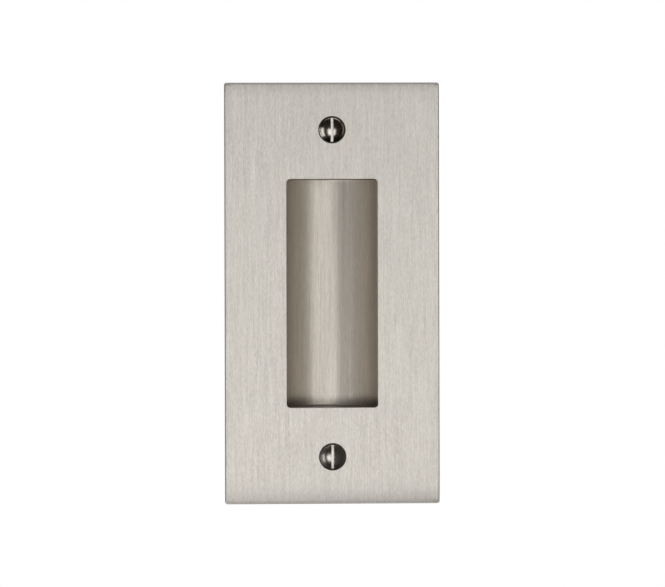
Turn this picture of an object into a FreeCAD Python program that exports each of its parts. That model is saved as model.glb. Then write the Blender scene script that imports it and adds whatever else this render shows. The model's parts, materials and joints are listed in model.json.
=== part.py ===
import FreeCAD, Part
import math
import os
import re
import Sketcher

# Flush pull for a pocket door: a cast plate with a half-round finger cup, and its two wood screws.
# Frame: +Z up, the face looks along -Y, and the origin is the middle of the plate's back face,
# which lies on the door. Lengths are in millimetres and angles in degrees.

SIZES = [
    # face plate
    ("plate_height", "102"),
    ("plate_width", "52"),
    ("plate_thickness", "3"),
    ("plate_corner_radius", "0.6"),
    ("plate_edge_radius", "0.35"),
    ("top_roll_length", "4"),
    ("top_roll_drop", "0.08"),
    ("foot_roll_length", "7"),
    ("foot_roll_drop", "0.25"),
    # window and finger cup
    ("end_border", "23.35"),
    ("side_border", "14.95"),
    ("window_corner_radius", "0.9"),
    ("window_lip_radius", "0.15"),
    ("cup_corner_radius", "0.3"),
    ("cup_wall", "1.5"),
    ("cup_end_radius", "1.2"),
    ("cup_root_radius", "0.8"),
    # raised-countersunk wood screws
    ("screw_inset", "11.4"),
    ("screw_length", "20"),
    ("head_diameter", "6.1"),
    ("head_raise", "1"),
    ("head_land", "0.15"),
    ("head_angle", "90"),
    ("slot_width", "0.65"),
    ("slot_depth", "1.35"),
    ("shank_diameter", "3.5"),
    ("plain_length", "8"),
    ("thread_runout", "0.6"),
    ("core_diameter", "2.5"),
    ("point_length", "3.5"),
    # fits between the screws and the plate
    ("head_clearance", "0.3"),
    ("shank_clearance", "0.25"),
    ("seat_clearance", "0.03"),
]

# Sizes that follow from the ones above.
HALF_WIDTH = "plate_width / 2"
HALF_HEIGHT = "plate_height / 2"
CUP_RADIUS = "(plate_width / 2 - side_border)"
WINDOW_WIDTH = "(plate_width - 2 * side_border)"
WINDOW_HEIGHT = "(plate_height - 2 * end_border)"
CUP_MOUTH = "plate_thickness / 2"
SHELL_RADIUS = f"({CUP_RADIUS} + cup_wall)"
SHELL_HEIGHT = f"({WINDOW_HEIGHT} + 2 * cup_wall)"
SCREW_SPACING = "(plate_height - 2 * screw_inset)"
HOLE_DIAMETER = "(shank_diameter + 2 * shank_clearance)"
COUNTERSINK_DIAMETER = "(head_diameter + 2 * head_clearance)"
CONE_SLOPE = "tan(head_angle * 1 deg / 2)"
CONE_LENGTH = f"((head_diameter - shank_diameter) / 2 / {CONE_SLOPE})"
# How far the rim of a screw head lies in front of the plate's back, with its cone on its seat.
RIM_REACH = f"(plate_thickness - head_clearance / {CONE_SLOPE} + seat_clearance + head_land)"

# The points of a sketched curve in the order in which a sketch numbers them, and its two axes.
WHOLE, START, END, CENTRE = range(4)
UPRIGHT_AXIS, LEVEL_AXIS = range(-2, 0)
ROOT = (LEVEL_AXIS, START)
NEAR = 1e-4

doc = FreeCAD.newDocument("pocket_door_pull")
sheet = doc.addObject("Spreadsheet::Sheet", "Sizes")
for row, (alias, value) in enumerate(SIZES, start=1):
    sheet.set(f"A{row}", alias.replace("_", " "))
    sheet.set(f"B{row}", value)
    sheet.setAlias(f"B{row}", alias)
doc.recompute()


def size(expression):
    return float(sheet.evalExpression(expression))


def from_sheet(expression):
    """Put the sheet's name before each of its aliases."""
    return re.sub(r"\b([a-z]+_\w+)\b", r"Sizes.\1", expression)


def bind(item, **expressions):
    for key, expression in expressions.items():
        item.setExpression(key, from_sheet(expression))


# Bodies, features and edges


def new_body(label):
    body = doc.addObject("PartDesign::Body", label)
    body.Label = label
    return body


def origin_feature(body, role):
    return next(item for item in body.Origin.OriginFeatures if item.Role == role)


def feature(body, kind, name, **settings):
    made = body.newObject(f"PartDesign::{kind}", name)
    for key, value in settings.items():
        setattr(made, key, value)
    return made


def fillet(body, name, base, wanted, radius):
    """Round the edges of a feature that the test picks out."""
    doc.recompute()
    edges = [f"Edge{n}" for n, edge in enumerate(base.Shape.Edges, start=1) if wanted(edge)]
    made = feature(body, "Fillet", name, Base=(base, edges))
    bind(made, Radius=radius)
    return made


def lies_at(edge, **places):
    """Tell whether an edge lies flat at these distances from the middle planes, on either side."""
    box = edge.BoundBox
    spans = {"x": (box.XMin, box.XMax), "y": (box.YMin, box.YMax), "z": (box.ZMin, box.ZMax)}
    for axis, place in places.items():
        low, high = spans[axis]
        if high - low > NEAR or abs(abs(low) - place) > NEAR:
            return False
    return True


def within(edge, half_width, half_height):
    """Tell whether an edge stays inside an upright rectangle about the middle of the plate."""
    box = edge.BoundBox
    reach_x = max(abs(box.XMin), abs(box.XMax))
    reach_z = max(abs(box.ZMin), abs(box.ZMax))
    return reach_x < half_width + NEAR and reach_z < half_height + NEAR


# Sketches


def new_sketch(body, name, role):
    sketch = body.newObject("Sketcher::SketchObject", name)
    sketch.AttachmentSupport = [(origin_feature(body, role), "")]
    sketch.MapMode = "FlatFace"
    return sketch


def line(first, second):
    return Part.LineSegment(FreeCAD.Vector(*first, 0), FreeCAD.Vector(*second, 0))


def circle(centre, radius):
    return Part.Circle(FreeCAD.Vector(*centre, 0), FreeCAD.Vector(0, 0, 1), radius)


def arc(centre, radius, first_angle, last_angle):
    return Part.ArcOfCircle(circle(centre, radius), first_angle, last_angle)


def relate(sketch, kind, *groups):
    """Add the same geometric constraint for each group of curves and points."""
    for group in groups:
        sketch.addConstraint(Sketcher.Constraint(kind, *group))


def dimension(sketch, name, kind, places, expression):
    """Add a dimension between the given places of a sketch and tie it to the sheet."""
    index = sketch.addConstraint(Sketcher.Constraint(kind, *places, size(expression)))
    sketch.renameConstraint(index, name)
    bind(sketch, **{f"Constraints.{name}": expression})


# Plate and cup


def plate_section(body):
    """Side view of the plate: flat back and face, with the face rolled off towards both ends."""
    half, front = size(HALF_HEIGHT), -size("plate_thickness")
    top_length, top_drop = size("top_roll_length"), size("top_roll_drop")
    foot_length, foot_drop = size("foot_roll_length"), size("foot_roll_drop")
    top_shoulder, foot_shoulder = half - top_length, foot_length - half
    top_radius = (top_length**2 + top_drop**2) / (2 * top_drop)
    foot_radius = (foot_length**2 + foot_drop**2) / (2 * foot_drop)
    top_sweep, foot_sweep = math.asin(top_length / top_radius), math.asin(foot_length / foot_radius)
    sketch = new_sketch(body, "PlateSection", "YZ_Plane")
    back, top, top_roll, face, foot_roll, foot = sketch.addGeometry(
        [
            line((0, -half), (0, half)),
            line((0, half), (front + top_drop, half)),
            arc((front + top_radius, top_shoulder), top_radius, math.pi - top_sweep, math.pi),
            line((front, top_shoulder), (front, foot_shoulder)),
            arc((front + foot_radius, foot_shoulder), foot_radius, math.pi, math.pi + foot_sweep),
            line((front + foot_drop, -half), (0, -half)),
        ]
    )
    relate(sketch, "Coincident", (back, END, top, START), (top, END, top_roll, START))
    relate(sketch, "Coincident", (foot_roll, END, foot, START), (foot, END, back, START))
    relate(sketch, "Tangent", (top_roll, END, face, START), (face, END, foot_roll, START))
    relate(sketch, "Vertical", (back,), (face,))
    relate(sketch, "Horizontal", (top,), (foot,))
    relate(sketch, "Symmetric", (back, START, back, END, *ROOT))
    dimension(sketch, "Height", "DistanceY", (back, START, back, END), "plate_height")
    dimension(sketch, "Thickness", "DistanceX", (face, START, *ROOT), "plate_thickness")
    dimension(sketch, "TopDrop", "DistanceX", (face, START, top_roll, START), "top_roll_drop")
    dimension(sketch, "TopRoll", "DistanceY", (face, START, top_roll, START), "top_roll_length")
    dimension(sketch, "FootDrop", "DistanceX", (face, END, foot_roll, END), "foot_roll_drop")
    dimension(sketch, "FootRoll", "DistanceY", (foot_roll, END, face, END), "foot_roll_length")
    return sketch


def upright_rectangle(body, name, distance, width, height):
    """Rectangle about the origin, at a distance in front of the plate's back face."""
    across, along = size(f"{width} / 2"), size(f"{height} / 2")
    sketch = new_sketch(body, name, "XZ_Plane")
    bind(sketch, **{"AttachmentOffset.Base.z": distance})
    corners = [(-across, -along), (across, -along), (across, along), (-across, along), (-across, -along)]
    low, right, high, left = sketch.addGeometry(
        [line(first, second) for first, second in zip(corners, corners[1:])]
    )
    relate(sketch, "Coincident", (low, END, right, START), (right, END, high, START))
    relate(sketch, "Coincident", (high, END, left, START), (left, END, low, START))
    relate(sketch, "Horizontal", (low,), (high,))
    relate(sketch, "Vertical", (right,), (left,))
    relate(sketch, "Symmetric", (low, START, high, START, *ROOT))
    dimension(sketch, "Width", "DistanceX", (low, START, low, END), width)
    dimension(sketch, "Height", "DistanceY", (right, START, right, END), height)
    return sketch


def half_round(body, name, radius, mouth):
    """Plan of the cup: straight sides from the mouth to the door plane, then a half circle."""
    reach, front = size(radius), -size(mouth)
    sketch = new_sketch(body, name, "XY_Plane")
    right, floor, left, across = sketch.addGeometry(
        [
            line((reach, front), (reach, 0)),
            arc((0, 0), reach, 0, math.pi),
            line((-reach, 0), (-reach, front)),
            line((-reach, front), (reach, front)),
        ]
    )
    relate(sketch, "Tangent", (right, END, floor, START), (floor, END, left, START))
    relate(sketch, "Coincident", (left, END, across, START), (across, END, right, START))
    relate(sketch, "Coincident", (floor, CENTRE, *ROOT))
    relate(sketch, "Vertical", (right,), (left,))
    relate(sketch, "Horizontal", (across,))
    dimension(sketch, "Radius", "Radius", (floor,), radius)
    dimension(sketch, "Mouth", "DistanceY", (right, START, *ROOT), mouth)
    return sketch


def screw_centres(body):
    """Centres of the two screw holes, on the face of the plate."""
    reach = size(f"{SCREW_SPACING} / 2")
    sketch = new_sketch(body, "ScrewCentres", "XZ_Plane")
    bind(sketch, **{"AttachmentOffset.Base.z": "plate_thickness"})
    radius = size(f"{HOLE_DIAMETER} / 2")
    upper, lower = sketch.addGeometry([circle((0, reach), radius), circle((0, -reach), radius)])
    relate(sketch, "Symmetric", (upper, CENTRE, lower, CENTRE, *ROOT))
    relate(sketch, "PointOnObject", (upper, CENTRE, UPRIGHT_AXIS))
    relate(sketch, "Equal", (upper, lower))
    dimension(sketch, "Spacing", "DistanceY", (lower, CENTRE, upper, CENTRE), SCREW_SPACING)
    dimension(sketch, "Hole", "Diameter", (upper,), HOLE_DIAMETER)
    return sketch


def make_pull_body():
    body = new_body("pull_body")
    half_width, half_height = size(HALF_WIDTH), size(HALF_HEIGHT)
    thickness, corner = size("plate_thickness"), size("plate_corner_radius")
    deepest_roll = max(size("top_roll_drop"), size("foot_roll_drop"))
    window = size(CUP_RADIUS), size(WINDOW_HEIGHT) / 2
    shell = size(SHELL_RADIUS), size(SHELL_HEIGHT) / 2

    def is_corner(edge):
        return lies_at(edge, x=half_width, z=half_height)

    def is_shell_end(edge):
        return lies_at(edge, z=shell[1]) and edge.BoundBox.YMax > NEAR

    def is_root(edge):
        return lies_at(edge, y=0) and within(edge, *shell)

    def is_window_corner(edge):
        return lies_at(edge, x=window[0], z=window[1])

    def is_recess_end(edge):
        return lies_at(edge, z=window[1]) and edge.BoundBox.YMax > NEAR

    def is_lip(edge):
        return lies_at(edge, y=thickness) and within(edge, *window)

    def is_face_edge(edge):
        middle = edge.CenterOfMass
        at_side = abs(middle.x) > half_width - corner
        at_end = abs(middle.z) > half_height - corner
        in_front = edge.BoundBox.YMax < deepest_roll - thickness + NEAR
        return in_front and (at_side or at_end)

    plate = feature(body, "Pad", "Plate", Profile=plate_section(body), SideType="Symmetric")
    bind(plate, Length="plate_width")
    fillet(body, "PlateCorners", plate, is_corner, "plate_corner_radius")

    # The cup's shell starts inside the plate, so that the two are one casting.
    section = half_round(body, "ShellSection", SHELL_RADIUS, CUP_MOUTH)
    cup = feature(body, "Pad", "CupShell", Profile=section, SideType="Symmetric")
    bind(cup, Length=SHELL_HEIGHT)
    ends = fillet(body, "ShellEnds", cup, is_shell_end, "cup_end_radius")
    root = fillet(body, "ShellRoot", ends, is_root, "cup_root_radius")

    # The window has rounded corners, and the cup behind it closes with sharper ones.
    outline = upright_rectangle(body, "WindowOutline", "plate_thickness", WINDOW_WIDTH, WINDOW_HEIGHT)
    window_cut = feature(body, "Pocket", "Window", Profile=outline)
    bind(window_cut, Length="plate_thickness")
    window_corners = fillet(body, "WindowCorners", window_cut, is_window_corner, "window_corner_radius")
    section = half_round(body, "RecessSection", CUP_RADIUS, CUP_MOUTH)
    recess = feature(body, "Pocket", "Recess", Profile=section, SideType="Symmetric")
    bind(recess, Length=WINDOW_HEIGHT)
    recess_ends = fillet(body, "RecessEnds", recess, is_recess_end, "cup_corner_radius")
    lip = fillet(body, "WindowLip", recess_ends, is_lip, "window_lip_radius")
    face_edge = fillet(body, "FaceEdge", lip, is_face_edge, "plate_edge_radius")

    centres = screw_centres(body)
    doc.recompute()
    holes = feature(
        body, "Hole", "ScrewHoles", Profile=centres, DepthType="ThroughAll", HoleCutType="Countersink"
    )
    holes.HoleCutCustomValues = True
    bind(holes, Diameter=HOLE_DIAMETER)
    bind(holes, HoleCutDiameter=COUNTERSINK_DIAMETER, HoleCutCountersinkAngle="head_angle")
    doc.recompute()
    must_remove(root, window_cut)
    must_remove(window_corners, recess)
    must_remove(face_edge, holes)
    return body


# Screws


def screw_profile(body):
    """Half section of a screw about its axis: raised head, cone, plain shank, core and point."""
    rim = -size(RIM_REACH)
    head, shank, core = (size(f"{name}_diameter / 2") for name in ("head", "shank", "core"))
    crown = rim - size("head_raise")
    cone = rim + size("head_land")
    neck = cone + size(CONE_LENGTH)
    plain_end = rim + size("plain_length")
    core_start = plain_end + size("thread_runout")
    tip = rim + size("screw_length")
    core_end = tip - size("point_length")
    dome_radius = (head**2 + size("head_raise") ** 2) / (2 * size("head_raise"))
    sweep = math.asin(head / dome_radius)
    sketch = new_sketch(body, "ScrewProfile", "YZ_Plane")
    corners = [(rim, head), (cone, head), (neck, shank), (plain_end, shank)]
    corners += [(core_start, core), (core_end, core), (tip, 0), (crown, 0)]
    dome = sketch.addGeometry(arc((crown + dome_radius, 0), dome_radius, math.pi - sweep, math.pi))
    land, seat, plain, runout, thread, point, axis = sketch.addGeometry(
        [line(first, second) for first, second in zip(corners, corners[1:])]
    )
    sides = (land, seat, plain, runout, thread, point, axis)
    relate(sketch, "Coincident", *((first, END, second, START) for first, second in zip(sides, sides[1:])))
    relate(sketch, "Coincident", (dome, START, land, START), (axis, END, dome, END))
    relate(sketch, "Horizontal", (land,), (plain,), (thread,), (axis,))
    relate(sketch, "PointOnObject", (dome, CENTRE, LEVEL_AXIS), (dome, END, LEVEL_AXIS))
    dimension(sketch, "Rim", "DistanceX", (land, START, *ROOT), RIM_REACH)
    dimension(sketch, "Raise", "DistanceX", (dome, END, land, START), "head_raise")
    dimension(sketch, "Head", "DistanceY", (*ROOT, land, START), "head_diameter / 2")
    dimension(sketch, "Land", "DistanceX", (land, START, land, END), "head_land")
    dimension(sketch, "Cone", "DistanceX", (seat, START, seat, END), CONE_LENGTH)
    dimension(sketch, "Shank", "DistanceY", (*ROOT, plain, START), "shank_diameter / 2")
    dimension(sketch, "Plain", "DistanceX", (land, START, plain, END), "plain_length")
    dimension(sketch, "Runout", "DistanceX", (runout, START, runout, END), "thread_runout")
    dimension(sketch, "Core", "DistanceY", (*ROOT, thread, START), "core_diameter / 2")
    dimension(sketch, "Length", "DistanceX", (land, START, point, END), "screw_length")
    dimension(sketch, "Point", "DistanceX", (point, START, point, END), "point_length")
    return sketch


def make_fixing_screws():
    """The upper screw about the body's own Y axis, and a second one straight below it."""
    body = new_body("fixing_screws")
    body.AllowCompound = True
    slot_floor = f"{RIM_REACH} + head_raise - slot_depth"
    bind(body, **{"Placement.Base.z": f"{SCREW_SPACING} / 2"})
    profile = screw_profile(body)
    turned = feature(body, "Revolution", "Turned", Profile=profile, ReferenceAxis=(profile, ["H_Axis"]))
    turned.Angle = 360
    # The saw cuts the slot from its floor outwards, over the whole width of the countersink.
    outline = upright_rectangle(body, "SlotOutline", slot_floor, "slot_width", COUNTERSINK_DIAMETER)
    slot = feature(body, "Pocket", "Slot", Profile=outline, Type="ThroughAll", Reversed=True)
    doc.recompute()
    must_remove(turned, slot)

    upright = origin_feature(body, "Z_Axis")
    pair = feature(body, "LinearPattern", "Pair", Direction=(upright, [""]), Reversed=True, Occurrences=2)
    pair.TransformMode = "Whole shape"
    bind(pair, Length=SCREW_SPACING)
    body.Tip = pair
    return body


# Checks and files


def must_remove(before, after):
    if after.Shape.Volume >= before.Shape.Volume - NEAR:
        raise RuntimeError(f"{after.Name} cuts nothing from {before.Name}")


def check(pieces):
    failed = [item.Name for item in doc.Objects if {"Invalid", "Error"} & set(item.State)]
    if failed:
        raise RuntimeError(f"not computed: {failed}")
    for piece, solids in pieces:
        if piece.Shape.isNull() or not piece.Shape.isValid():
            raise RuntimeError(f"{piece.Label} has no valid shape")
        if len(piece.Shape.Solids) != solids:
            raise RuntimeError(f"{piece.Label} has {len(piece.Shape.Solids)} solids, not {solids}")


pieces = [(make_pull_body(), 1), (make_fixing_screws(), 2)]
doc.recompute()
check(pieces)
os.makedirs("parts", exist_ok=True)
for piece, _ in pieces:
    piece.Shape.exportStep(f"parts/{piece.Label}.step")
    box = piece.Shape.optimalBoundingBox()
    extent = f"{box.XLength:.2f} x {box.YLength:.2f} x {box.ZLength:.2f} mm"
    print(piece.Label, f"{piece.Shape.Volume:.1f} mm3", extent)
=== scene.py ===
# %% [markdown]
# # A flush pull for a pocket door
#
# A pocket door slides into the wall, so its handle can't stand out from the door. This one is a
# nickel-plated brass plate, 102 mm tall, with a half-round finger cup behind an upright window and
# two slotted screws. The CAD model gives the sizes and places, and this script gives it its looks:
# finer meshes, the finishes, a studio and the camera.

# %% Load the CAD model
import json
import math

import bmesh
import bpy
from mathutils import Matrix, Vector


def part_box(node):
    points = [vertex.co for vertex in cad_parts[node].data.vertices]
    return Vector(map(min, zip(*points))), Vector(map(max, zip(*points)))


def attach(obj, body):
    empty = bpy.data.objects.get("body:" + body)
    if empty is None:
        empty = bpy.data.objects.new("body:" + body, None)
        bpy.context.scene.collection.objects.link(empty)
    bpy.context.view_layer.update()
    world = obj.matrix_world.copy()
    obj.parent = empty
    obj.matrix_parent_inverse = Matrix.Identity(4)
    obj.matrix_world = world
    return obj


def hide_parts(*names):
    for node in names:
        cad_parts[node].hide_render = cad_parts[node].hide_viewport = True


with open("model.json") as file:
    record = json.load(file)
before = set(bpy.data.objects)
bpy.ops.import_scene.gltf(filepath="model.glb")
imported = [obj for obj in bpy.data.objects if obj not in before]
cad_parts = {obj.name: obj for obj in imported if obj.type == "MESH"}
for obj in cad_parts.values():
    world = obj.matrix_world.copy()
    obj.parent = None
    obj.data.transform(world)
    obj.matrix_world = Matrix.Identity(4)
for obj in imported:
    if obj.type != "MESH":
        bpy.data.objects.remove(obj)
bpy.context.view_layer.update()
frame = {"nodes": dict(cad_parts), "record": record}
print("CAD nodes:", sorted(frame["nodes"]))

# %% [markdown]
# ## Millimetres
#
# Blender's unit is the metre, and this part has edges of a tenth of a millimetre. So the part's
# sizes are written in millimetres, and each of its meshes is scaled once, when it is finished. Only
# the studio round it is in metres. The plate lies in the X and Z directions, and +Y goes into the
# door, so a point's y is called its depth. Depth 0 is the door's surface, and the face of the plate
# is at -3. The main sizes come from the CAD model: the box round the pull gives the plate and the
# depth of the cup, and its record the screws' spacing.

# %% Sizes of the plate and the cup
MM = 0.001
PLATE_CORNER = 0.6
FACE_EDGE = 0.35
BACK_EDGE = 0.12
WINDOW_HALF_HEIGHT = 27.65
WINDOW_CORNER = 0.9
WINDOW_LIP = 0.15
CUP_MOUTH = -1.5
CUP_CORNER = 0.3
CUP_WALL = 1.5
SHELL_END = 1.2
SHELL_ROOT = 0.8


def box_in_mm(node):
    """The lowest and the highest corner of a CAD node, in millimetres."""
    return [[round(value / MM, 2) for value in corner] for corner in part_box(node)]


pull_low, pull_high = box_in_mm("pull_body")
PLATE_HALF_WIDTH, SHELL_RADIUS, PLATE_HALF_HEIGHT = pull_high
FACE_DEPTH = pull_low[1]
WINDOW_HALF_WIDTH = SHELL_RADIUS - CUP_WALL
SHELL_HALF_HEIGHT = WINDOW_HALF_HEIGHT + CUP_WALL
mounts = {mount["name"]: mount for mount in frame["record"]["mounts"]}
screw_height = mounts["screw_threads"]["dims"]["spacing_y_mm"] / 2
SCREW_HEIGHTS = (screw_height, -screw_height)
print("CAD pull, mm:", pull_low, "to", pull_high, "and its screws at", SCREW_HEIGHTS)

# %% [markdown]
# ## Loops round an upright rectangle
#
# The pull is one casting, so it is one closed mesh. Every edge of it, from the cup's lip to the
# plate's outline, is a rounded upright rectangle. If all those loops have the same number of points
# in the same order, two neighbours can be joined by a band of four-sided faces. A Boolean of simple
# blocks could give the same shape, but its edges would have no clean rounding to catch the light.

# %% Loops and quarter turns
CORNER_STEPS = 8
SIDE_STEPS = 100
END_STEPS = 40


def between(point, other, share):
    """A point part of the way from one point to another."""
    return tuple(a + (b - a) * share for a, b in zip(point, other))


def upright_loop(half_width, half_height, corner):
    """Points (x, z) round a rounded rectangle, from its right side upwards and on round."""
    points = []
    for turn, (side, end) in enumerate([(1, 1), (-1, 1), (-1, -1), (1, -1)]):
        for step in range(CORNER_STEPS + 1):
            angle = math.pi / 2 * (turn + step / CORNER_STEPS)
            points.append((side * (half_width - corner) + corner * math.cos(angle),
                           end * (half_height - corner) + corner * math.sin(angle)))
        x, z = points[-1]
        stop, run = ((-x, z), END_STEPS) if side == end else ((x, -z), SIDE_STEPS)
        points += [between((x, z), stop, step / run) for step in range(1, run)]
    return points


def quarter_turn(steps):
    """Sines and cosines from 0 to 90 degrees, for rounded edges."""
    angles = [math.pi / 2 * step / steps for step in range(steps + 1)]
    return [(math.sin(angle), math.cos(angle)) for angle in angles]


window_loop = upright_loop(WINDOW_HALF_WIDTH, WINDOW_HALF_HEIGHT, WINDOW_CORNER)
print("points on a loop:", len(window_loop))

# %% [markdown]
# ## The half-round cup
#
# The cup is a trough: straight walls through the plate's thickness, then half a cylinder, closed by
# a flat wall at each end with a small rounded corner all along the U. One grid makes it. Its columns
# are U-shaped sections, and its rows run along the cup. At the ends the section shrinks while it
# moves on, and that is the rounded corner. The outside of the cup is a second grid of the same kind.

# %% Sections along a cup
def cup_stations(half_width, half_height, corner):
    """For each section along the cup, its half width and its height z, from the foot upwards."""
    stations = []
    for sine, cosine in quarter_turn(CORNER_STEPS)[::-1]:
        stations.append((half_width - corner * (1 - cosine), corner - half_height - corner * sine))
    straight = 2 * (half_height - corner)
    end = stations[:]
    for step in range(1, SIDE_STEPS):
        stations.append((half_width, corner - half_height + straight * step / SIDE_STEPS))
    return stations + [(half, -height) for half, height in reversed(end)]


def u_section(half, rim_depth, wall_steps, arc_steps):
    """Points (x, y) of a U, from its right rim round to its left rim."""
    first = max(0.0, math.asin(rim_depth / half))
    points = [(half, rim_depth * (1 - step / wall_steps)) for step in range(wall_steps)]
    for step in range(arc_steps + 1):
        angle = first + (math.pi - 2 * first) * step / arc_steps
        points.append((half * math.cos(angle), half * math.sin(angle)))
    return points + [(-half, rim_depth * step / wall_steps) for step in range(1, wall_steps + 1)]


recess = cup_stations(WINDOW_HALF_WIDTH, WINDOW_HALF_HEIGHT, CUP_CORNER)
print("sections along the cup:", len(recess))

# %% A cup from its sections
def add_cup(mesh, stations, rim_depth, wall_steps, arc_steps, finish, end_finish):
    """A trough with closed ends; returns its rim as a ring in the order of upright_loop."""
    grid = []
    for half, height in stations:
        section = u_section(half, rim_depth, wall_steps, arc_steps)
        grid.append([mesh.verts.new((x, y, height)) for x, y in section])
    for station, (column, beside) in enumerate(zip(grid, grid[1:])):
        in_corner = not CORNER_STEPS <= station < len(grid) - 1 - CORNER_STEPS
        for here in range(len(column) - 1):
            corners = (column[here], column[here + 1], beside[here + 1], beside[here])
            mesh.faces.new(corners).material_index = end_finish if in_corner else finish
    ends = []
    for column in (grid[-1], grid[0]):
        right, left = column[0].co, column[-1].co
        run = [mesh.verts.new(right.lerp(left, step / END_STEPS)) for step in range(1, END_STEPS)]
        mesh.faces.new(column + run[::-1]).material_index = end_finish
        ends.append(run)
    top = len(grid) - 1 - CORNER_STEPS
    right_rim = [column[0] for column in grid]
    left_rim = [column[-1] for column in grid]
    return right_rim[top:] + ends[0] + left_rim[::-1] + ends[1][::-1] + right_rim[:top]


FINISH_COUNT = 6
FACE, CUP, CUP_END, SIDE, BACK, DRILLED = range(FINISH_COUNT)
MOUTH_STEPS = 2
RECESS_STEPS = 64

casting = bmesh.new()
rings = [(add_cup(casting, recess, CUP_MOUTH, MOUTH_STEPS, RECESS_STEPS, CUP, CUP_END), CUP)]
print("cup:", len(casting.faces), "faces")

# %% [markdown]
# ## The plate round the cup
#
# The rings now go outwards from the cup: over the lip, across the face, round the edge, down the
# side, and back in over the hidden side to the outside of the cup. The face is flat, but it was
# linished on a belt, and a belt takes a little more off where the plate ends. The photo shows it as
# a slow darkening over the last few millimetres, most at the foot and there most on the right. A
# power curve gives that roll-off. It starts so gently that no line shows where it begins.

# %% Rings of the plate
TOP_ROLL, TOP_DROP = 4.0, 0.08
FOOT_ROLL, FOOT_DROP = 7.0, 0.27
FOOT_SKEW = 0.14
ROLL_POWER = 2.6


def roll_off(x, z):
    """How far the belt has taken the face down at a point near one of its two ends."""
    length, drop = TOP_ROLL, TOP_DROP
    if z < 0:
        length, drop = FOOT_ROLL, FOOT_DROP * (1 + FOOT_SKEW * x / PLATE_HALF_WIDTH)
    past = max(0.0, abs(z) - PLATE_HALF_HEIGHT + length) / length
    return drop * past ** ROLL_POWER


def add_ring(loop, depth, finish, rolled=False):
    """Put a loop of vertices into the casting; rolled adds the roll-off to its depth."""
    ring = [casting.verts.new((x, depth + rolled * roll_off(x, z), z)) for x, z in loop]
    rings.append((ring, finish))


def plate_loop(inset):
    """A loop round the plate's outline, drawn in by an inset."""
    return upright_loop(PLATE_HALF_WIDTH - inset, PLATE_HALF_HEIGHT - inset, PLATE_CORNER - inset)


def grown_loop(half_width, half_height, corner, growth):
    """A loop round the cup, let out by a growth."""
    return upright_loop(half_width + growth, half_height + growth, corner + growth)


foot_corner = (PLATE_HALF_WIDTH, -PLATE_HALF_HEIGHT)
print("roll-off at the foot's right corner, mm:", round(roll_off(*foot_corner), 3))

# %% Over the lip, across the face and round the edge
EDGE_STEPS = 5
BELT_REACH = 0.75
FLAT_STEPS = 6
ROLL_STEPS = 12

window = (WINDOW_HALF_WIDTH, WINDOW_HALF_HEIGHT, WINDOW_CORNER)
for sine, cosine in quarter_turn(EDGE_STEPS):
    loop = grown_loop(*window, WINDOW_LIP * (1 - cosine))
    add_ring(loop, FACE_DEPTH + WINDOW_LIP * (1 - sine), FACE if sine else CUP)

inner_loop = grown_loop(*window, WINDOW_LIP)
outer_loop = plate_loop(FACE_EDGE)
inner_height = WINDOW_HALF_HEIGHT + WINDOW_LIP
outer_height = PLATE_HALF_HEIGHT - FACE_EDGE
flat_height = PLATE_HALF_HEIGHT - FOOT_ROLL
roll_start = (flat_height - inner_height) / (outer_height - inner_height)
shares = [roll_start * step / FLAT_STEPS for step in range(1, FLAT_STEPS + 1)]
shares += [roll_start + (1 - roll_start) * step / ROLL_STEPS for step in range(1, ROLL_STEPS + 1)]
for share in shares:
    loop = [between(here, there, share) for here, there in zip(inner_loop, outer_loop)]
    add_ring(loop, FACE_DEPTH, FACE, rolled=True)
for sine, cosine in quarter_turn(EDGE_STEPS)[1:]:
    loop = plate_loop(FACE_EDGE * (1 - sine))
    finish = FACE if cosine > BELT_REACH else SIDE
    add_ring(loop, FACE_DEPTH + FACE_EDGE * (1 - cosine), finish, rolled=True)
print("rings so far:", len(rings))

# %% Over the back to the outside of the cup
BACK_EDGE_STEPS = 3
BACK_STEPS = 5
SHELL_STEPS = 48

for sine, cosine in quarter_turn(BACK_EDGE_STEPS):
    add_ring(plate_loop(BACK_EDGE * (1 - cosine)), BACK_EDGE * (sine - 1), SIDE)

shell_half_width = math.sqrt(SHELL_RADIUS ** 2 - SHELL_ROOT ** 2)
shell = (shell_half_width, SHELL_HALF_HEIGHT, SHELL_END)
back_loop = plate_loop(BACK_EDGE)
root_loop = grown_loop(*shell, SHELL_ROOT)
for step in range(1, BACK_STEPS):
    share = step / BACK_STEPS
    loop = [between(here, there, share) for here, there in zip(back_loop, root_loop)]
    add_ring(loop, 0.0, BACK)
for sine, cosine in quarter_turn(EDGE_STEPS)[:-1]:
    add_ring(grown_loop(*shell, SHELL_ROOT * (1 - sine)), SHELL_ROOT * (1 - cosine), BACK)
outside = cup_stations(SHELL_RADIUS, SHELL_HALF_HEIGHT, SHELL_END)
rings.append((add_cup(casting, outside, SHELL_ROOT, 0, SHELL_STEPS, BACK, BACK), BACK))
print("rings in all:", len(rings))

# %% Join the rings
for (ring, _), (next_ring, finish) in zip(rings, rings[1:]):
    for here in range(len(ring)):
        corners = (ring[here - 1], ring[here], next_ring[here], next_ring[here - 1])
        casting.faces.new(corners).material_index = finish
bmesh.ops.recalc_face_normals(casting, faces=casting.faces)
open_edges = [edge for edge in casting.edges if len(edge.link_faces) != 2]
print("casting:", len(casting.faces), "faces,", len(open_edges), "open edges")

# %% [markdown]
# ## Drilling for the screws
#
# The holes are drilled and countersunk after casting, and the mesh can be made the same way: a
# turned cutter, with the outline of the drill and the countersink, is subtracted with a Boolean. On
# a flat face a Boolean leaves no shading faults. The cutter is turned by half a step, so that none
# of its points falls on the plate's middle line, where the plate has points of its own: two points
# in one place would leave edges with no length. The cutter's own faces keep their finish, so the
# countersinks come out turned, not brushed.

# %% Turned solids
TURNED_STEPS = 96
HALF_STEP = 0.5


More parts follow.
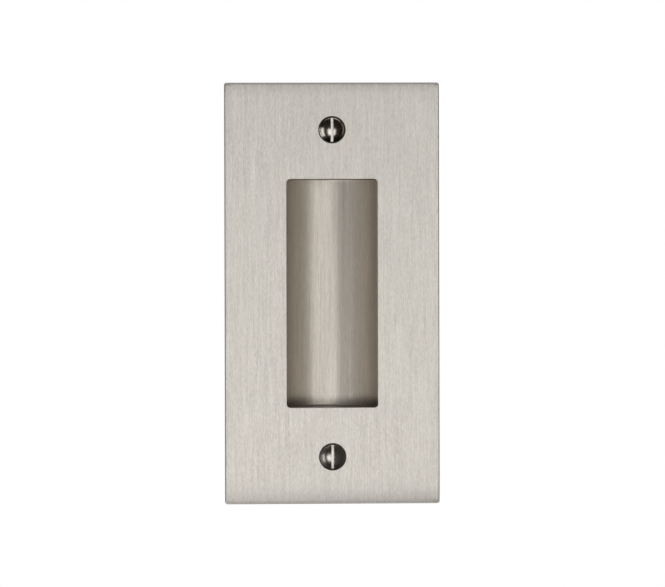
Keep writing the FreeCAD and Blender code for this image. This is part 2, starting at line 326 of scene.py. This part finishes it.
def turned(mesh, outline, height, finish=0, ridge=None):
    """A solid turned from (radius, depth) points that start and end on the axis of a screw."""
    turned_rings = []
    for radius, depth in outline:
        ring = []
        for step in range(TURNED_STEPS if radius else 1):
            angle = 2 * math.pi * (step + HALF_STEP) / TURNED_STEPS
            reach = radius + ridge(depth, angle) if ridge else radius
            place = (reach * math.sin(angle), depth, height + reach * math.cos(angle))
            ring.append(mesh.verts.new(place))
        turned_rings.append(ring)
    for ring, next_ring in zip(turned_rings, turned_rings[1:]):
        for here in range(TURNED_STEPS):
            corners = [ring[here % len(ring)], ring[here - 1 if len(ring) > 1 else 0],
                       next_ring[here - 1 if len(next_ring) > 1 else 0],
                       next_ring[here % len(next_ring)]]
            mesh.faces.new(list(dict.fromkeys(corners))).material_index = finish
    bmesh.ops.recalc_face_normals(mesh, faces=mesh.faces)


print("points round a turned solid:", TURNED_STEPS)

# %% Objects and cuts
def new_object(name, mesh, finishes=0):
    """Turn a finished bmesh into an object with empty places for its finishes."""
    data = bpy.data.meshes.new(name)
    mesh.to_mesh(data)
    mesh.free()
    for _ in range(finishes):
        data.materials.append(None)
    thing = bpy.data.objects.new(name, data)
    bpy.context.scene.collection.objects.link(thing)
    return thing


def subtract(thing, cutter):
    """Cut one object out of another, and drop the cutter."""
    cut = thing.modifiers.new("cut", "BOOLEAN")
    cut.operation = "DIFFERENCE"
    cut.solver = "EXACT"
    cut.object = cutter
    seen = bpy.context.evaluated_depsgraph_get()
    done = bpy.data.meshes.new_from_object(thing.evaluated_get(seen))
    thing.modifiers.clear()
    thing.data = done
    bpy.data.objects.remove(cutter)


pull = new_object("flush_pull", casting, FINISH_COUNT)
print(pull.name, "has places for", len(pull.data.materials), "finishes")

# %% Drill the plate
HOLE_RADIUS = 2.0
MOUTH_RADIUS = 3.3
MOUTH_BREAK = 0.03
DRILL_SPARE = 1.0

mouth = MOUTH_RADIUS + MOUTH_BREAK
above = FACE_DEPTH - DRILL_SPARE
cone_start = FACE_DEPTH + MOUTH_BREAK
cone_end = cone_start + MOUTH_RADIUS - HOLE_RADIUS
drill_outline = [
    (0, above), (mouth, above), (mouth, FACE_DEPTH), (MOUTH_RADIUS, cone_start),
    (HOLE_RADIUS, cone_end), (HOLE_RADIUS, DRILL_SPARE), (0, DRILL_SPARE)]

for height in SCREW_HEIGHTS:
    drill = bmesh.new()
    turned(drill, drill_outline, height, DRILLED)
    subtract(pull, new_object("drill", drill, FINISH_COUNT))
print("drilled plate:", len(pull.data.polygons), "faces")

# %% [markdown]
# ## Shading a machined casting
#
# Smooth shading bends the normals of a flat face near its rounded edges, and on metal that shows as
# dark smears. Two settings keep the flats flat: edges sharper than a set angle are marked sharp, and
# the Weighted Normal modifier lets large faces decide the normals that they share with small ones.

# %% Smooth shading and scale
SHARP_ANGLE = 32
LARGE_FACE_WEIGHT = 80


def finish_mesh(thing):
    """Scale to metres, then shade smoothly with flat faces kept flat."""
    thing.data.transform(Matrix.Scale(MM, 4))
    thing.data.shade_smooth()
    thing.data.set_sharp_from_angle(angle=math.radians(SHARP_ANGLE))
    weighted = thing.modifiers.new("flat faces stay flat", "WEIGHTED_NORMAL")
    weighted.keep_sharp = True
    weighted.weight = LARGE_FACE_WEIGHT


finish_mesh(pull)
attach(pull, "root")
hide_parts("pull_body")
print("pull:", len(pull.data.vertices), "vertices")

# %% [markdown]
# ## The screws
#
# They are slotted wood screws with a raised countersunk head. A lathe makes the real ones: it turns
# the head, shank and point, a saw cuts the slot, and a tool cuts the thread. The mesh follows the
# same steps. First comes the outline, from the crown to the tip. The dome is nearly flat at its
# crown and steeper towards its rim, as a tumbled head is, so its highlight is broad.

# %% Outline of the head and the plain shank
CROWN_DEPTH = -3.88
RIM_DEPTH = -2.88
CROWN_RADIUS = 8.0
RIM_ROUND = 0.1
RIM_STRETCH = 1.2
LAND_END = -2.73
SHANK_RADIUS = 1.75
PLAIN_END = 5.12
DOME_STEPS = 20
RIM_STEPS = 4
CONE_STEPS = 4
SHANK_STEPS = 6

screw_high = box_in_mm("fixing_screws")[1]
HEAD_RADIUS, TIP_DEPTH = screw_high[:2]
still_to_drop = RIM_DEPTH - CROWN_DEPTH - HEAD_RADIUS ** 2 / (2 * CROWN_RADIUS)
steepening = still_to_drop / HEAD_RADIUS ** 4


def dome_depth(radius):
    """Depth of the dome at a radius: a shallow bowl that steepens with the fourth power."""
    return CROWN_DEPTH + radius ** 2 / (2 * CROWN_RADIUS) + steepening * radius ** 4


outline = []
for step in range(DOME_STEPS + 1):
    radius = (HEAD_RADIUS - RIM_ROUND) * step / DOME_STEPS
    outline.append((radius, dome_depth(radius)))
rim_radius, rim_depth = outline[-1]
half_bend = math.sin(math.pi / 4)
for step in range(1, RIM_STEPS + 1):
    bend = math.pi / 4 * (1 + step / RIM_STEPS)
    wider = (math.sin(bend) - half_bend) / (1 - half_bend)
    deeper = RIM_STRETCH * (half_bend - math.cos(bend))
    outline.append((rim_radius + RIM_ROUND * wider, rim_depth + RIM_ROUND * deeper))
land = (HEAD_RADIUS, LAND_END)
neck = (SHANK_RADIUS, LAND_END + HEAD_RADIUS - SHANK_RADIUS)
shoulder = (SHANK_RADIUS, PLAIN_END)
outline += [between(land, neck, step / CONE_STEPS) for step in range(CONE_STEPS)]
outline += [between(neck, shoulder, step / SHANK_STEPS) for step in range(SHANK_STEPS + 1)]
print("rings on the head and shank:", len(outline))

# %% [markdown]
# ## The thread
#
# A cut thread is a ridge that winds round the core. Here each ring of the turned mesh gets the ridge
# at its own angles, and the rings are spaced so that the ridge moves round by the same angle from
# one to the next. A Screw modifier could wind the ridge as well, but it wouldn't run out at the
# shank and fade at the point as a real thread does.

# %% Thread and point
CORE_RADIUS = 1.25
CORE_START = 5.72
POINT_START = 13.62
THREAD_PITCH = 1.41
RINGS_PER_TURN = 16
CREST_HALF = 0.05
RIDGE_HALF = 0.33
FADE_LENGTH = 2.5


def core_radius(depth):
    """Radius at the bottom of the thread."""
    if depth < CORE_START:
        share = (depth - PLAIN_END) / (CORE_START - PLAIN_END)
        return SHANK_RADIUS + (CORE_RADIUS - SHANK_RADIUS) * share
    if depth < POINT_START:
        return CORE_RADIUS
    return CORE_RADIUS * (TIP_DEPTH - depth) / (TIP_DEPTH - POINT_START)


def thread_ridge(depth, angle):
    """Height of the thread above its core at a depth and an angle round the screw."""
    if depth <= PLAIN_END:
        return 0.0
    full = min(SHANK_RADIUS - core_radius(depth), SHANK_RADIUS - CORE_RADIUS)
    full *= min(1.0, (TIP_DEPTH - depth) / FADE_LENGTH)
    turns = (depth - PLAIN_END) / THREAD_PITCH - angle / (2 * math.pi)
    off_crest = abs(turns - round(turns)) * THREAD_PITCH
    return full * min(1.0, max(0.0, (RIDGE_HALF - off_crest) / (RIDGE_HALF - CREST_HALF)))


ring_step = THREAD_PITCH / RINGS_PER_TURN
ring_count = round((TIP_DEPTH - PLAIN_END) / ring_step)
for step in range(1, ring_count):
    depth = PLAIN_END + ring_step * step
    outline.append((core_radius(depth), depth))
outline.append((0, TIP_DEPTH))
print("rings on a screw:", len(outline))

# %% [markdown]
# ## Two screws that aren't quite alike
#
# Both screws are turned from one outline, and then their slots are sawn. The lower crown was
# polished a little off centre: in the photo its highlight lies to the left of its slot. A small lean
# of the dome, which fades out at the rim, gives that. The dome also sinks a little, so that its
# raised side stands no higher than the CAD crown. To tip the whole screw would lift its rim off the
# plate.

# %% Turn both screws and saw their slots
SLOT_WIDTH = 0.65
SLOT_FLOOR = -2.53
SAW_HEIGHT = 2.0
SAW_LENGTH = 10.0
# How much each crown slopes back to the right, and how far it sinks in mm.
CROWN_LEANS = ((0.0, 0.0), (0.15, 0.09))

screw_mesh = bmesh.new()
for height, (lean, sink) in zip(SCREW_HEIGHTS, CROWN_LEANS):
    known = len(screw_mesh.verts)
    turned(screw_mesh, outline, height, ridge=thread_ridge)
    screw_mesh.verts.ensure_lookup_table()
    for vert in screw_mesh.verts[known:]:
        off_axis = math.hypot(vert.co.x, vert.co.z - height) / HEAD_RADIUS
        if vert.co.y < RIM_DEPTH:
            vert.co.y += (lean * vert.co.x + sink) * (1 - off_axis ** 2)
screws = new_object("slotted_screws", screw_mesh)
for height in SCREW_HEIGHTS:
    saw = bmesh.new()
    bmesh.ops.create_cube(saw, size=1)
    bmesh.ops.scale(saw, vec=(SLOT_WIDTH, SAW_HEIGHT, SAW_LENGTH), verts=saw.verts)
    bmesh.ops.translate(saw, vec=(0, SLOT_FLOOR - SAW_HEIGHT / 2, height), verts=saw.verts)
    subtract(screws, new_object("saw", saw))
finish_mesh(screws)
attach(screws, "root")
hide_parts("fixing_screws")
print("screws:", len(screws.data.polygons), "faces")

# %% [markdown]
# ## Helpers for the finishes
#
# Colours are written as sRGB hex values, as a colour picker shows them. Shaders work with linear
# values, so one function converts them. Another adds a node with its settings and its links, so that
# each finish reads as a short list of nodes. All the finishes here are plated metal. Two more
# functions make what they share: two tones mixed by a pattern, and a metal with that pattern as its
# bump.

# %% Colour and node helpers
def linear(hex_colour):
    """Turn an sRGB hex colour into linear red, green, blue and alpha."""
    shares = [int(hex_colour[place:place + 2], 16) / 255 for place in (1, 3, 5)]
    return [s / 12.92 if s <= 0.04045 else ((s + 0.055) / 1.055) ** 2.4 for s in shares] + [1.0]


def add_node(tree, kind, settings, links=()):
    """Add a node; settings name its inputs or properties, links pair an input and an output."""
    node = tree.nodes.new(kind)
    for name, value in settings.items():
        if isinstance(name, int) or name in node.inputs:
            node.inputs[name].default_value = value
        else:
            setattr(node, name, value)
    for name, source in links:
        tree.links.new(source, node.inputs[name])
    return node


def new_finish(name):
    """A material with an empty node tree."""
    finish = bpy.data.materials.new(name)
    finish.use_nodes = True
    finish.node_tree.nodes.clear()
    return finish, finish.node_tree


print("mid grey in linear light:", round(linear("#808080")[0], 3))

# %% What the metal finishes share
LOW_NOISE, HIGH_NOISE = 0.3, 0.7


def add_tones(tree, pattern, dark, light):
    """Stretch a noise to the range from 0 to 1, and mix two colours by it."""
    tone = add_node(
        tree, "ShaderNodeMapRange", {"From Min": LOW_NOISE, "From Max": HIGH_NOISE},
        [("Value", pattern)])
    colour = add_node(
        tree, "ShaderNodeMix", {"data_type": "RGBA", 6: linear(dark), 7: linear(light)},
        [(0, tone.outputs["Result"])])
    return tone.outputs["Result"], colour.outputs[2]


def add_metal(tree, settings, links, pattern, lift):
    """A metal with these settings and links, and with a pattern as its bump, lift mm high."""
    bump = add_node(
        tree, "ShaderNodeBump", {"Strength": 1.0, "Distance": lift * MM}, [("Height", pattern)])
    metal = add_node(
        tree, "ShaderNodeBsdfPrincipled", {"Metallic": 1.0, **settings},
        [("Normal", bump.outputs["Normal"]), *links])
    add_node(tree, "ShaderNodeOutputMaterial", {}, [("Surface", metal.outputs["BSDF"])])


print("noise is stretched from", LOW_NOISE, "and", HIGH_NOISE, "to 0 and 1")

# %% [markdown]
# ## Satin nickel
#
# Nickel plate over brass that was linished: drawn along a fine abrasive belt before plating. Nickel
# is a warm grey metal. Each scratch is a groove along the height of the plate, and light spreads
# across the grooves and hardly along them. So the shader's roughness is anisotropic, with its
# tangent across the grain, and a lamp becomes a broad level glow. The grain is also drawn as noise
# that is stretched along Z, in layers: short scratches, long ones, and in the cup some grit. It moves
# the colour, the roughness and the bump together, as a groove does. Real scratches of this finish
# are 0.02 to 0.05 mm wide. They are drawn 0.2 to 0.3 mm wide, or the render couldn't show them. The
# cup's foot is painted darker, most in its lower corners: painted shade, as the end wall shades it.

# %% The grain, and the painted shade at the cup's foot
FOOT_SHADE_REACH = 2.6
MIDDLE_SHADE_SHARE = 0.2


def add_grain(tree, place, scratches):
    """Noise stretched along Z; scratches lists widths and lengths in mm, and their shares."""
    grain = None
    for width, length, share in scratches:
        stretch = add_node(
            tree, "ShaderNodeMapping",
            {"Scale": (1 / (width * MM), 1 / (width * MM), 1 / (length * MM))},
            [("Vector", place)])
        noise = add_node(
            tree, "ShaderNodeTexNoise", {"Scale": 1.0, "Detail": 2.0, "Roughness": 0.6},
            [("Vector", stretch.outputs["Vector"])])
        grain = add_node(
            tree, "ShaderNodeMath", {"operation": "MULTIPLY_ADD", 1: share, 2: 0.0},
            [(0, noise.outputs["Fac"])] + ([(2, grain.outputs[0])] if grain else []))
    return grain.outputs[0]


def add_painted_foot_shade(tree, place, colour, painted_shade_tone):
    """Paint shade into a colour towards the cup's foot, most in its two corners."""
    axes = add_node(tree, "ShaderNodeSeparateXYZ", {}, [("Vector", place)])
    aside = add_node(tree, "ShaderNodeMath", {"operation": "ABSOLUTE"}, [(0, axes.outputs["X"])])
    outer = add_node(
        tree, "ShaderNodeMapRange", {"From Max": WINDOW_HALF_WIDTH * MM, "To Min": MIDDLE_SHADE_SHARE},
        [("Value", aside.outputs[0])])
    low = add_node(
        tree, "ShaderNodeMapRange",
        {"From Min": (FOOT_SHADE_REACH - WINDOW_HALF_HEIGHT) * MM, "From Max": -WINDOW_HALF_HEIGHT * MM},
        [("Value", axes.outputs["Z"])])
    dim = add_node(
        tree, "ShaderNodeMath", {"operation": "MULTIPLY"},
        [(0, outer.outputs["Result"]), (1, low.outputs["Result"])])
    darker = add_node(
        tree, "ShaderNodeMix", {"data_type": "RGBA", 7: linear(painted_shade_tone)},
        [(0, dim.outputs[0]), (6, colour)])
    return darker.outputs[2]


print("the cup darkens over its last", FOOT_SHADE_REACH, "mm")

# %% Satin nickel on the face and in the cup
ROUGH_SWING = 0.04
# The grain runs along Z. It leans a little, so that faces that look along Z have a direction too.
GRAIN_WAY = {"X": 0.03, "Y": 0.05, "Z": 1.0}
# A quarter turn makes the shader blur across that direction, not along it.
QUARTER = 0.25


def satin_nickel(name, dark, light, roughness, spread, scratches, lift, painted_shade_tone=None):
    """Brushed nickel; spread says how much more it blurs across its scratches than along them."""
    finish, tree = new_finish(name)
    place = add_node(tree, "ShaderNodeTexCoord", {}).outputs["Object"]
    grain = add_grain(tree, place, scratches)
    tone, colour = add_tones(tree, grain, dark, light)
    # Painted shade: the colour is darkened towards the cup's foot.
    if painted_shade_tone:
        colour = add_painted_foot_shade(tree, place, colour, painted_shade_tone)
    rough = add_node(
        tree, "ShaderNodeMapRange",
        {"To Min": roughness + ROUGH_SWING, "To Max": roughness - ROUGH_SWING}, [("Value", tone)])
    along = add_node(tree, "ShaderNodeCombineXYZ", GRAIN_WAY)
    add_metal(
        tree, {"Anisotropic": spread, "Anisotropic Rotation": QUARTER},
        [("Base Color", colour), ("Roughness", rough.outputs["Result"]),
         ("Tangent", along.outputs["Vector"])], grain, lift)
    return finish


face_finish = satin_nickel(
    "satin_nickel_linished", "#c7c2ba", "#e2ddd5", roughness=0.40, spread=0.67,
    scratches=[(0.18, 0.8, 0.6), (0.29, 11.0, 0.4)], lift=0.002)
# The cup's finish paints shade at its foot, in the dark tone given last.
cup_finish = satin_nickel(
    "satin_nickel_brushed_cup_with_painted_shade", "#b2aba1", "#d4cdc3", roughness=0.32, spread=0.8,
    scratches=[(0.2, 2.5, 0.4), (0.3, 20.0, 0.4), (0.3, 0.5, 0.2)], lift=0.004,
    painted_shade_tone="#5c564e")
print("finishes:", face_finish.name, cup_finish.name)

# %% [markdown]
# ## Nickel that nobody brushed
#
# The back of the casting, the plate's narrow sides, the cup's end walls and the countersinks are
# plated with the rest, but no belt reached them. The cast back keeps the fine pebbles of the sand
# mould, about 0.6 mm across, and looks frosted. The sides and the end walls are finer. The sides are
# painted darker, a painted shade, so they draw a thin line round the plate. The countersinks keep the
# marks of the tool, and they are painted dark too, as painted shade in the gap round each head.
# Round noise gives all four, each with its own size, and moves roughness and bump together.

# %% Plain nickel on the back, the sides, the cup's ends and the drilled holes
PEBBLE_SWING = 0.06


def plain_nickel(name, dark, light, roughness, pebble, lift):
    """Nickel plated over bare brass, with round pebbles of a size in mm."""
    finish, tree = new_finish(name)
    place = add_node(tree, "ShaderNodeTexCoord", {})
    scale = add_node(
        tree, "ShaderNodeMapping", {"Scale": [1 / (pebble * MM)] * 3},
        [("Vector", place.outputs["Object"])])
    noise = add_node(
        tree, "ShaderNodeTexNoise", {"Scale": 1.0, "Detail": 4.0, "Roughness": 0.55},
        [("Vector", scale.outputs["Vector"])])
    tone, colour = add_tones(tree, noise.outputs["Fac"], dark, light)
    rough = add_node(
        tree, "ShaderNodeMapRange",
        {"To Min": roughness - PEBBLE_SWING, "To Max": roughness + PEBBLE_SWING}, [("Value", tone)])
    add_metal(
        tree, {}, [("Base Color", colour), ("Roughness", rough.outputs["Result"])],
        noise.outputs["Fac"], lift)
    return finish


pull_finishes = {
    FACE: face_finish,
    CUP: cup_finish,
    CUP_END: plain_nickel("nickel_on_cup_ends", "#98928a", "#a8a29a", 0.36, pebble=0.4, lift=0.01),
    # The plate's sides are painted dark: painted shade, which draws the thin line round the plate.
    SIDE: plain_nickel("nickel_on_plate_sides_painted_shade", "#767067", "#867f76", 0.55, pebble=0.5, lift=0.01),
    BACK: plain_nickel("nickel_over_casting", "#b3ada3", "#bfb9af", 0.5, pebble=0.6, lift=0.03),
    # The countersinks are painted dark: painted shade in the gap round each screw head.
    DRILLED: plain_nickel("nickel_in_drilled_hole_painted_shade", "#766f65", "#857e74", 0.4, pebble=0.2, lift=0.01)}
for number, finish in pull_finishes.items():
    pull.data.materials[number] = finish
print("finishes on the pull:", [finish.name for finish in pull.data.materials])

# %% [markdown]
# ## Polished nickel
#
# The screws are turned brass, nickel plated and polished, so they mirror the studio: a bright front
# light on the crown, a dark room on the slope of the dome, and a thin light rim. Turning leaves fine
# rings about the axis, real ones about 0.02 mm apart, drawn here at 0.12 mm so that they show. They
# come from a noise that reads only the distance from the screw's axis. The lower screw is a little
# more worn, most on the slopes of its dome, and the shanks, which nobody polishes, are duller.

# %% Turning rings on the screws
RING_SPACING = 0.12

screw_finish, tree = new_finish("polished_nickel_turned")
place = add_node(tree, "ShaderNodeTexCoord", {})
axes = add_node(tree, "ShaderNodeSeparateXYZ", {}, [("Vector", place.outputs["Object"])])
upright = add_node(tree, "ShaderNodeMath", {"operation": "ABSOLUTE"}, [(0, axes.outputs["Z"])])
off_axis = add_node(
    tree, "ShaderNodeMath", {"operation": "SUBTRACT", 1: SCREW_HEIGHTS[0] * MM},
    [(0, upright.outputs[0])])
across = add_node(
    tree, "ShaderNodeCombineXYZ", {}, [("X", axes.outputs["X"]), ("Z", off_axis.outputs[0])])
radius = add_node(
    tree, "ShaderNodeVectorMath", {"operation": "LENGTH"}, [(0, across.outputs["Vector"])])
ring_place = add_node(
    tree, "ShaderNodeMath", {"operation": "MULTIPLY", 1: 1 / (RING_SPACING * MM)},
    [(0, radius.outputs["Value"])])
turning = add_node(
    tree, "ShaderNodeTexNoise", {"noise_dimensions": "1D", "Scale": 1.0, "Detail": 2.0},
    [("W", ring_place.outputs[0])])
print("turning rings, mm apart:", RING_SPACING)

# %% Polish and wear on the screws
RING_LIFT = 0.0015
POLISH_ROUGH = 0.21
POLISHED_RADIUS = 1.0
WORN_CROWN, WORN_RIM = 0.04, 0.18
DULL_FROM, DULL_TO = -1.0, 2.0
SHANK_ROUGH = 0.15

colour = add_node(
    tree, "ShaderNodeMix",
    {"data_type": "RGBA", 6: linear("#c4bfb6"), 7: linear("#cdc8bf")},
    [(0, turning.outputs["Fac"])])
wear = add_node(
    tree, "ShaderNodeMapRange",
    {"From Min": POLISHED_RADIUS * MM, "From Max": HEAD_RADIUS * MM,
     "To Min": WORN_CROWN, "To Max": WORN_RIM},
    [("Value", radius.outputs["Value"])])
lower = add_node(
    tree, "ShaderNodeMath", {"operation": "LESS_THAN", 1: 0.0}, [(0, axes.outputs["Z"])])
polish = add_node(
    tree, "ShaderNodeMath", {"operation": "MULTIPLY_ADD", 2: POLISH_ROUGH},
    [(0, wear.outputs["Result"]), (1, lower.outputs[0])])
dull = add_node(
    tree, "ShaderNodeMapRange",
    {"From Min": DULL_FROM * MM, "From Max": DULL_TO * MM, "To Max": SHANK_ROUGH},
    [("Value", axes.outputs["Y"])])
rough = add_node(
    tree, "ShaderNodeMath", {"operation": "ADD"},
    [(0, polish.outputs[0]), (1, dull.outputs["Result"])])
add_metal(
    tree, {}, [("Base Color", colour.outputs[2]), ("Roughness", rough.outputs[0])],
    turning.outputs["Fac"], RING_LIFT)
screws.data.materials.append(screw_finish)
print("finish on the screws:", screw_finish.name)

# %% [markdown]
# ## A white room
#
# The photo is a product shot: the pull stands free before pure white. A world that is white for the
# camera, and for mirrors and glass, gives that background, and it is a little weaker as light on the
# floor. The plain pale floor lies well below the pull, out of the picture, and takes its shadow.

# %% World
FLOOR_FILL = 0.85

scene = bpy.context.scene
scene.view_settings.view_transform = "Standard"
scene.world = bpy.data.worlds.new("white_room")
scene.world.use_nodes = True
tree = scene.world.node_tree
tree.nodes.clear()
path = add_node(tree, "ShaderNodeLightPath", {})
seen = add_node(
    tree, "ShaderNodeMath", {"operation": "ADD"},
    [(0, path.outputs["Is Camera Ray"]), (1, path.outputs["Is Glossy Ray"])])
seen = add_node(
    tree, "ShaderNodeMath", {"operation": "ADD"},
    [(0, seen.outputs[0]), (1, path.outputs["Is Transmission Ray"])])
level = add_node(
    tree, "ShaderNodeMapRange", {"To Min": FLOOR_FILL, "To Max": 1.0},
    [("Value", seen.outputs[0])])
white = add_node(
    tree, "ShaderNodeBackground", {"Color": linear("#ffffff")},
    [("Strength", level.outputs["Result"])])
add_node(tree, "ShaderNodeOutputWorld", {}, [("Surface", white.outputs[0])])
print("world:", scene.world.name)

# %% Floor
FLOOR_HEIGHT = -0.25
FLOOR_HALF_WIDTH = 0.2
FLOOR_FRONT, FLOOR_BACK = -0.06, 0.2


def stage_card(name, corners, faces, finish):
    """A flat card of the studio, which isn't part of the pull."""
    data = bpy.data.meshes.new(name)
    data.from_pydata(corners, [], faces)
    data.materials.append(finish)
    thing = bpy.data.objects.new(name, data)
    scene.collection.objects.link(thing)
    return thing


floor_finish, tree = new_finish("pale_painted_floor")
paint = add_node(tree, "ShaderNodeBsdfDiffuse", {"Color": linear("#efeeec")})
add_node(tree, "ShaderNodeOutputMaterial", {}, [("Surface", paint.outputs[0])])
floor = stage_card(
    "floor",
    [(-FLOOR_HALF_WIDTH, FLOOR_FRONT, FLOOR_HEIGHT), (FLOOR_HALF_WIDTH, FLOOR_FRONT, FLOOR_HEIGHT),
     (FLOOR_HALF_WIDTH, FLOOR_BACK, FLOOR_HEIGHT), (-FLOOR_HALF_WIDTH, FLOOR_BACK, FLOOR_HEIGHT)],
    [(0, 1, 2, 3)], floor_finish)
floor.visible_glossy = False
print("floor at", FLOOR_HEIGHT, "m")

# %% [markdown]
# ## A drape round the shot
#
# Metal shows what stands round it. In a room that is white all over, a nickel plate is white too,
# with no shape. A photographer hangs black cloth round the set and lets only the softboxes shine, and
# then every curve turns from light to dark. The cloth here is a box, open at the back. White boards
# close it above and below, for the light of other views. The camera sees neither, and they cast no
# shadow. Their light reaches only the pull, so that the slopes of the screws stay dark.

# %% Drape and boards
CLOTH_GLOW, BOARD_GLOW = 0.01, 0.8
DRAPE_HALF_WIDTH = 1.9
DRAPE_HALF_HEIGHT = 1.5
DRAPE_FRONT, DRAPE_BACK = -1.7, 0.3

screws_only = bpy.data.collections.new("lit_for_screws")
screws_only.objects.link(screws)
pull_only = bpy.data.collections.new("lit_for_pull")
pull_only.objects.link(pull)

drape_corners = [
    (side * DRAPE_HALF_WIDTH, depth, end * DRAPE_HALF_HEIGHT)
    for depth in (DRAPE_FRONT, DRAPE_BACK) for end in (-1, 1) for side in (-1, 1)]
CLOTHS = [(0, 1, 3, 2), (0, 4, 6, 2), (1, 5, 7, 3)]
BOARDS = [(0, 1, 5, 4), (2, 3, 7, 6)]
for name, glow, faces in (("black_cloth", CLOTH_GLOW, CLOTHS), ("white_boards", BOARD_GLOW, BOARDS)):
    drape_finish, tree = new_finish(name)
    cloth = add_node(
        tree, "ShaderNodeEmission", {"Color": linear("#ffffff"), "Strength": glow})
    add_node(tree, "ShaderNodeOutputMaterial", {}, [("Surface", cloth.outputs[0])])
    drape = stage_card(name, drape_corners, faces, drape_finish)
    drape.visible_camera = False
    drape.visible_shadow = False
    drape.visible_diffuse = False
    drape.light_linking.receiver_collection = pull_only
    print(name, "in", len(drape.data.polygons), "pieces")

# %% [markdown]
# ## The softboxes
#
# A softbox is an area lamp, and what counts for metal is where it lies and how large it looks from
# the pull. So each one is given by its angles: left and right of straight ahead, and below and above.
# Its level is its brightness as the metal mirrors it, where 1 is white. A front key lights the flat
# plate, and strips at both sides give the streaks in the cup. A skirt low at each side lights the
# plate in views from the side. The screws have a key, a left softbox, a faint fill and rim lights of
# their own: light linking says which piece a lamp lights.

# %% Lamps
LAMP_DISTANCE = 1.3
WHITE = (1.0, 1.0, 1.0)
WARM = (1.0, 0.85, 0.65)


def toward(turn, rise):
    """The direction at a turn to the right and a rise, in degrees, as seen from the pull."""
    turn, rise = math.radians(turn), math.radians(rise)
    return Vector((math.sin(turn) * math.cos(rise), -math.cos(turn) * math.cos(rise), math.sin(rise)))


def softbox(name, left, right, low, high, level, receivers, colour=WHITE):
    """A rectangular lamp that fills these angles, in degrees, as seen from the pull."""
    lamp = bpy.data.lights.new(name, "AREA")
    lamp.shape = "RECTANGLE"
    lamp.size = 2 * LAMP_DISTANCE * math.tan(math.radians(right - left) / 2)
    lamp.size_y = 2 * LAMP_DISTANCE * math.tan(math.radians(high - low) / 2)
    lamp.energy = level * math.pi * lamp.size * lamp.size_y
    lamp.color = colour
    thing = bpy.data.objects.new(name, lamp)
    thing.location = LAMP_DISTANCE * toward((left + right) / 2, (low + high) / 2)
    thing.rotation_euler = thing.location.to_track_quat("Z", "Y").to_euler()
    thing.visible_camera = False
    thing.light_linking.receiver_collection = receivers
    scene.collection.objects.link(thing)


softbox("key_low", -21, 5, -15.5, -2, 2.16, pull_only)
softbox("key_high", -21, 5, -2, 14, 0.87, pull_only)
softbox("key_right", 5, 13, -9, 14, 1.93, pull_only)
softbox("right_near", 20, 46, -9, 8, 1.6, pull_only)
softbox("left_low", -54, -38, -9, -3, 2.29, pull_only)
softbox("left_high", -54, -38, -3, 4, 1.07, pull_only)
softbox("left_far", -90, -54, -9, 4, 2.2, pull_only)
softbox("left_skirt", -84, -28, -44, -17, 0.9, pull_only)
softbox("right_skirt", 28, 84, -44, -17, 0.9, pull_only)
softbox("screw_key", -14, 16, -22, 4, 1.75, screws_only)
softbox("screw_left", -66, -42, -32, 10, 1.35, screws_only)
softbox("screw_top_rim", -50, 45, 75.5, 79.5, 2.0, screws_only)
softbox("screw_right_rim", 74, 84, -25, 35, 0.45, screws_only, WARM)
softbox("screw_fill", -60, 60, -50, 50, 0.018, screws_only, WARM)
print("lamps:", len(bpy.data.lights))

# %% [markdown]
# ## The camera
#
# The photo was taken nearly straight on: the camera stands 3.7 degrees to the left and 1.2 degrees
# above. The plate's tilt and the widths of its visible sides gave those angles. The distance shows in
# the cup's end walls: a sliver of the lower one is in view and nothing of the upper one, as from about
# 1.4 m away. The lens follows from that and from the size of the plate in the picture.

# %% Camera
VIEW_TURN = -3.71
VIEW_RISE = 1.15
VIEW_ROLL = -0.13
VIEW_DISTANCE = 1.4
PHOTO_WIDTH = 665
PIXELS_PER_MM = 4.122
# The picture's middle lies this many pixels right of and above the plate's middle.
AIM_RIGHT, AIM_UP = 0.95, -0.40
SENSOR_WIDTH = 36.0

camera_data = bpy.data.cameras.new("camera")
camera_data.sensor_width = SENSOR_WIDTH
camera_data.lens = SENSOR_WIDTH * PIXELS_PER_MM * VIEW_DISTANCE / MM / PHOTO_WIDTH
camera = bpy.data.objects.new("camera", camera_data)
scene.collection.objects.link(camera)
back = toward(VIEW_TURN, VIEW_RISE)
facing = back.to_track_quat("Z", "Y").to_matrix()
facing = facing @ Matrix.Rotation(math.radians(VIEW_ROLL), 3, "Z")
aim = facing @ Vector((AIM_RIGHT, AIM_UP, 0)) * (MM / PIXELS_PER_MM)
camera.matrix_world = Matrix.Translation(aim + back * VIEW_DISTANCE) @ facing.to_4x4()
scene.camera = camera
print("lens, mm:", round(camera_data.lens, 1))
